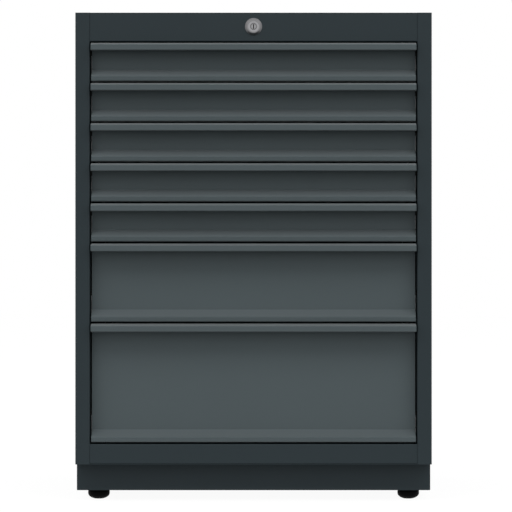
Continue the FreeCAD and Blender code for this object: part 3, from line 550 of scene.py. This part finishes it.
thread_tree, given = new_tree("thread_ridge", {
    "Turns": "NodeSocketFloat", "Height": "NodeSocketFloat", "Core radius": "NodeSocketFloat",
    "Ridge": "NodeSocketFloat", "Place": "NodeSocketVector",
})
spiral = add(thread_tree, "GeometryNodeCurveSpiral", {
    "Resolution": THREAD_STEPS, "Rotations": given["Turns"], "Start Radius": given["Core radius"],
    "End Radius": given["Core radius"], "Height": given["Height"],
})
upright = add(
    thread_tree, "GeometryNodeSetCurveNormal", {"Curve": spiral.outputs["Curve"]}, mode="Z_UP"
)
diamond = add(thread_tree, "GeometryNodeCurvePrimitiveCircle", {
    "Resolution": DIAMOND_CORNERS, "Radius": given["Ridge"],
})
ridge = add(thread_tree, "GeometryNodeCurveToMesh", {
    "Curve": upright.outputs["Curve"], "Profile Curve": diamond.outputs["Curve"],
    "Fill Caps": True,
})
placed = add(thread_tree, "GeometryNodeTransform", {
    "Geometry": ridge.outputs["Mesh"], "Translation": given["Place"],
})
joined = add(thread_tree, "GeometryNodeJoinGeometry")
thread_tree.links.new(given["Geometry"], joined.inputs["Geometry"])
thread_tree.links.new(placed.outputs["Geometry"], joined.inputs["Geometry"])
end_tree(thread_tree, joined.outputs["Geometry"], zinc_plate)
print("thread tree has", len(thread_tree.nodes), "nodes")

# %% Add the stems
STEM_STEPS = 24
STEM_TOP = 62
STEM_POINT = 1
CORE_RADIUS = 4.15
CORE_IN_NUT = 2
THREAD_PITCH = 1.5
NUT_WIDTH = 17
NUT_TOP = 23
NUT_BEVEL = 0.8
HEX_SIDES = 6
THREAD_START = NUT_TOP + 0.5
THREAD_LENGTH = STEM_TOP - NUT_TOP - 2
nut_reach = NUT_WIDTH / math.sqrt(3)
core = [
    (0, NUT_TOP - CORE_IN_NUT), (CORE_RADIUS, NUT_TOP - CORE_IN_NUT),
    (CORE_RADIUS, STEM_TOP - STEM_POINT), (CORE_RADIUS - STEM_POINT, STEM_TOP), (0, STEM_TOP),
]
nut = [
    (0, FOOT_TOP), (nut_reach, FOOT_TOP), (nut_reach, NUT_TOP - NUT_BEVEL),
    (nut_reach - NUT_BEVEL, NUT_TOP), (0, NUT_TOP),
]
for name in FEET:
    bm = bmesh.new()
    lathe(bm, core, STEM_STEPS)
    lathe(bm, nut, HEX_SIDES)
    stand(bm, name)
    piece = new_piece(name + "_stem", bm)
    grow(piece, thread_tree, {
        "Turns": THREAD_LENGTH / THREAD_PITCH, "Height": THREAD_LENGTH * MM,
        "Core radius": CORE_RADIUS * MM, "Ridge": THREAD_PITCH / 2 * MM,
        "Place": (*foot_axis(name), THREAD_START * MM),
    })
    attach(piece, name)
    print(piece.name, len(piece.data.polygons), "faces")

# %% [markdown]
# ## Keyway
# Behind the keyhole stands a row of thin wafers, which the key lifts. They are blackened as
# painted shade, standing for the shade deep in the keyway. Their upper and lower ends step in
# and out, so the eye meets a dark, notched slot. Each wafer is a small block, a loop sets them
# in a row, and together they turn with the plug.

# %% Stack the wafers
WAFER_PITCH = 2.2 * MM
WAFER_THICKNESS = 1.6 * MM
WAFER_STEPS = (0.0, 0.7, 0.3, 0.9, 0.2)
SLOT_WIDTH = 2.0 * MM
SLOT_HEIGHT = 8.4 * MM
SLOT_PLAY = 0.05 * MM
WAFERS_BEHIND = 0.9 * MM
plug_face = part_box("lock_plug")[0].y
half_width = SLOT_WIDTH / 2 - SLOT_PLAY
bm = bmesh.new()
for count, step in enumerate(WAFER_STEPS):
    front = plug_face + WAFERS_BEHIND + count * WAFER_PITCH
    half_height = SLOT_HEIGHT / 2 - SLOT_PLAY - step * MM
    block(bm, (lock_axis[0] - half_width, front, lock_axis[2] - half_height),
          (lock_axis[0] + half_width, front + WAFER_THICKNESS, lock_axis[2] + half_height))
# The wafers' black finish is painted shade for the inside of the keyway.
wafers = new_piece("lock_wafers", bm, black_oxide)
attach(wafers, "lock_plug")
print(wafers.name, len(WAFER_STEPS), "wafers behind", round(plug_face, 4))

# %% [markdown]
# ## Screws of the back panel
# The back panel is screwed to the flanges of the side panels with two rows of pan-head
# screws. One head is lathed, a Boolean modifier cuts its cross recess, and Geometry Nodes
# repeats it at the points of two lines, which is quicker to change than ten copies.

# %% Build the row tree
row_tree, given = new_tree("rows_of_copies", {
    "Across": "NodeSocketInt", "Across pitch": "NodeSocketVector",
    "Along": "NodeSocketInt", "Along pitch": "NodeSocketVector", "Start": "NodeSocketVector",
})
across = add(row_tree, "GeometryNodeMeshLine", {
    "Count": given["Across"], "Offset": given["Across pitch"], "Start Location": given["Start"],
})
lengthwise = add(row_tree, "GeometryNodeMeshLine", {
    "Count": given["Along"], "Offset": given["Along pitch"],
})
field = add(row_tree, "GeometryNodeInstanceOnPoints", {
    "Points": across.outputs["Mesh"], "Instance": lengthwise.outputs["Mesh"],
})
spots = add(row_tree, "GeometryNodeRealizeInstances", {"Geometry": field.outputs["Instances"]})
copies = add(row_tree, "GeometryNodeInstanceOnPoints", {
    "Points": spots.outputs["Geometry"], "Instance": given["Geometry"],
})
end_tree(row_tree, copies.outputs["Instances"], zinc_plate)
print("row tree has", len(row_tree.nodes), "nodes")

# %% Make the screw heads
HEAD_STEPS = 24
HEAD_RADIUS, HEAD_HEIGHT = 4.5, 2.0
RECESS_DEPTH = 1.3
DOME_START = (HEAD_RADIUS, 0.6)
DOME_END = (1.2, HEAD_HEIGHT)
DOME_CENTRE = (0, -4.5)
DOME_POINTS = 5
RECESS_HALF, RECESS_REACH = 0.45 * MM, 2.4 * MM
RECESS_LOW, RECESS_HIGH = (HEAD_HEIGHT - RECESS_DEPTH) * MM, HEAD_HEIGHT * 2 * MM
dome = arc_points(DOME_START, DOME_END, DOME_CENTRE, DOME_POINTS)
bm = bmesh.new()
lathe(bm, [(0, 0), (HEAD_RADIUS, 0), *dome, (0, HEAD_HEIGHT)], HEAD_STEPS)
bmesh.ops.rotate(bm, verts=bm.verts, matrix=Matrix.Rotation(math.radians(-90), 3, "X"))
screws = new_piece("back_panel_screws", bm)
bm = bmesh.new()
for half_x, half_z in ((RECESS_REACH, RECESS_HALF), (RECESS_HALF, RECESS_REACH)):
    block(bm, (-half_x, RECESS_LOW, -half_z), (half_x, RECESS_HIGH, half_z))
cutter = new_piece("cross_cutter", bm)
cut = screws.modifiers.new("cross_recess", "BOOLEAN")
cut.operation = "DIFFERENCE"
cut.use_self = True
cut.object = cutter
settle(screws)
bpy.data.objects.remove(cutter)
print("one head has", len(screws.data.polygons), "faces")

# %% Set the screws in two rows
SCREWS_IN_ROW = 5
SCREW_MARGIN = 60 * MM
SCREW_INSET = 10 * MM
low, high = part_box("side_panel_right")
flange_x = high.x - SCREW_INSET
pitch = (high.z - low.z - 2 * SCREW_MARGIN) / (SCREWS_IN_ROW - 1)
grow(screws, row_tree, {
    "Across": 2, "Across pitch": (2 * flange_x, 0, 0), "Along": SCREWS_IN_ROW,
    "Along pitch": (0, 0, pitch), "Start": (-flange_x, high.y, low.z + SCREW_MARGIN),
})
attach(screws, "housing")
print(screws.name, len(screws.data.polygons), "faces, pitch", round(pitch / MM, 1), "mm")

# %% [markdown]
# ## Floor and light
# The picture is a plain product shot on a white ground, with soft light and hardly a shadow.
# The floor and the sky look white, but they light the cabinet in another way. The camera and
# mirror reflections see an even white sky, and a floor that mostly glows white; the small
# rest of it is lit and takes a faint shadow. To all other light the floor is plain grey, pale
# near the cabinet and darker further out, which holds back the light from below.

# %% Lay the floor
FLOOR_SIZE = 30
FLOOR_GLOW = 0.9
GLOW_STRENGTH = 1.05
SEEN_FLOOR = 0.8
PALE_FLOOR, DARK_FLOOR = 0.6, 0.2
PALE_REACH, DARK_REACH = 0.5, 1.6
WHITE = linear("#ffffff")


def seen_rays(tree):
    """Nodes that give 1 for rays of the camera, of mirror reflections and through glass."""
    path = add(tree, "ShaderNodeLightPath").outputs
    seen = path["Is Camera Ray"]
    for kind in ("Is Glossy Ray", "Is Transmission Ray"):
        seen = add(tree, "ShaderNodeMath", {0: seen, 1: path[kind]}, operation="MAXIMUM").outputs[0]
    return seen


bm = bmesh.new()
bmesh.ops.create_grid(bm, x_segments=1, y_segments=1, size=FLOOR_SIZE / 2)
material, tree = new_material("pale_studio_floor")
seen = seen_rays(tree)
share = add(tree, "ShaderNodeMath", {0: seen, 1: FLOOR_GLOW}, operation="MULTIPLY")
spot = add(tree, "ShaderNodeTexCoord").outputs["Object"]
reach = add(tree, "ShaderNodeVectorMath", {0: spot}, operation="LENGTH").outputs["Value"]
pale = add(tree, "ShaderNodeMapRange", {
    "Value": reach, "From Min": PALE_REACH, "From Max": DARK_REACH,
    "To Min": PALE_FLOOR, "To Max": DARK_FLOOR,
})
shown = add(tree, "ShaderNodeMix", {0: seen, 2: pale.outputs["Result"], 3: SEEN_FLOOR})
matt = add(tree, "ShaderNodeBsdfDiffuse", {"Color": shown.outputs[0]})
glow = add(tree, "ShaderNodeEmission", {"Color": WHITE, "Strength": GLOW_STRENGTH})
both = add(tree, "ShaderNodeMixShader", {
    0: share.outputs[0], 1: matt.outputs["BSDF"], 2: glow.outputs["Emission"],
})
add(tree, "ShaderNodeOutputMaterial", {"Surface": both.outputs["Shader"]})
floor = new_piece("studio_floor", bm, material)
print("floor", FLOOR_SIZE, "m across")

# %% [markdown]
# The sky lights the cabinet like a room with bright walls and a dim ceiling. The walls light
# the upright fronts and reach into the recesses. One wide softbox, high in front, adds the
# light on the handle tops and the sloping ledges.

# %% Light the scene
WALL_LIGHT, CEILING_LIGHT, SEEN_SKY = 1.4, 0.3, 1.0
WALL_TOP, CEILING_EDGE = 0.45, 0.65
KEY_PLACE, KEY_TARGET = Vector((0, -4.8, 6.9)), Vector((0, -0.3, 0.5))
KEY_WIDTH, KEY_HEIGHT = 16.0, 3.5
KEY_WATTS = 480
world = bpy.data.worlds.new("studio")
bpy.context.scene.world = world
world.use_nodes = True
tree = world.node_tree
tree.nodes.clear()
way = add(tree, "ShaderNodeTexCoord").outputs["Generated"]
height = add(tree, "ShaderNodeSeparateXYZ", {"Vector": way}).outputs["Z"]
fill = add(tree, "ShaderNodeMapRange", {
    "Value": height, "From Min": WALL_TOP, "From Max": CEILING_EDGE,
    "To Min": WALL_LIGHT, "To Max": CEILING_LIGHT,
})
strength = add(tree, "ShaderNodeMix", {0: seen_rays(tree), 2: fill.outputs["Result"], 3: SEEN_SKY})
sky = add(tree, "ShaderNodeBackground", {"Color": WHITE, "Strength": strength.outputs[0]})
add(tree, "ShaderNodeOutputWorld", {"Surface": sky.outputs["Background"]})
key = bpy.data.lights.new("key_softbox", "AREA")
key.shape = "RECTANGLE"
key.size, key.size_y = KEY_WIDTH, KEY_HEIGHT
key.energy = KEY_WATTS
lamp = bpy.data.objects.new("key_softbox", key)
lamp.location = KEY_PLACE
lamp.rotation_euler = (KEY_TARGET - KEY_PLACE).to_track_quat("-Z", "Y").to_euler()
bpy.context.scene.collection.objects.link(lamp)
print("lit by the sky and a softbox of", KEY_WATTS, "W")
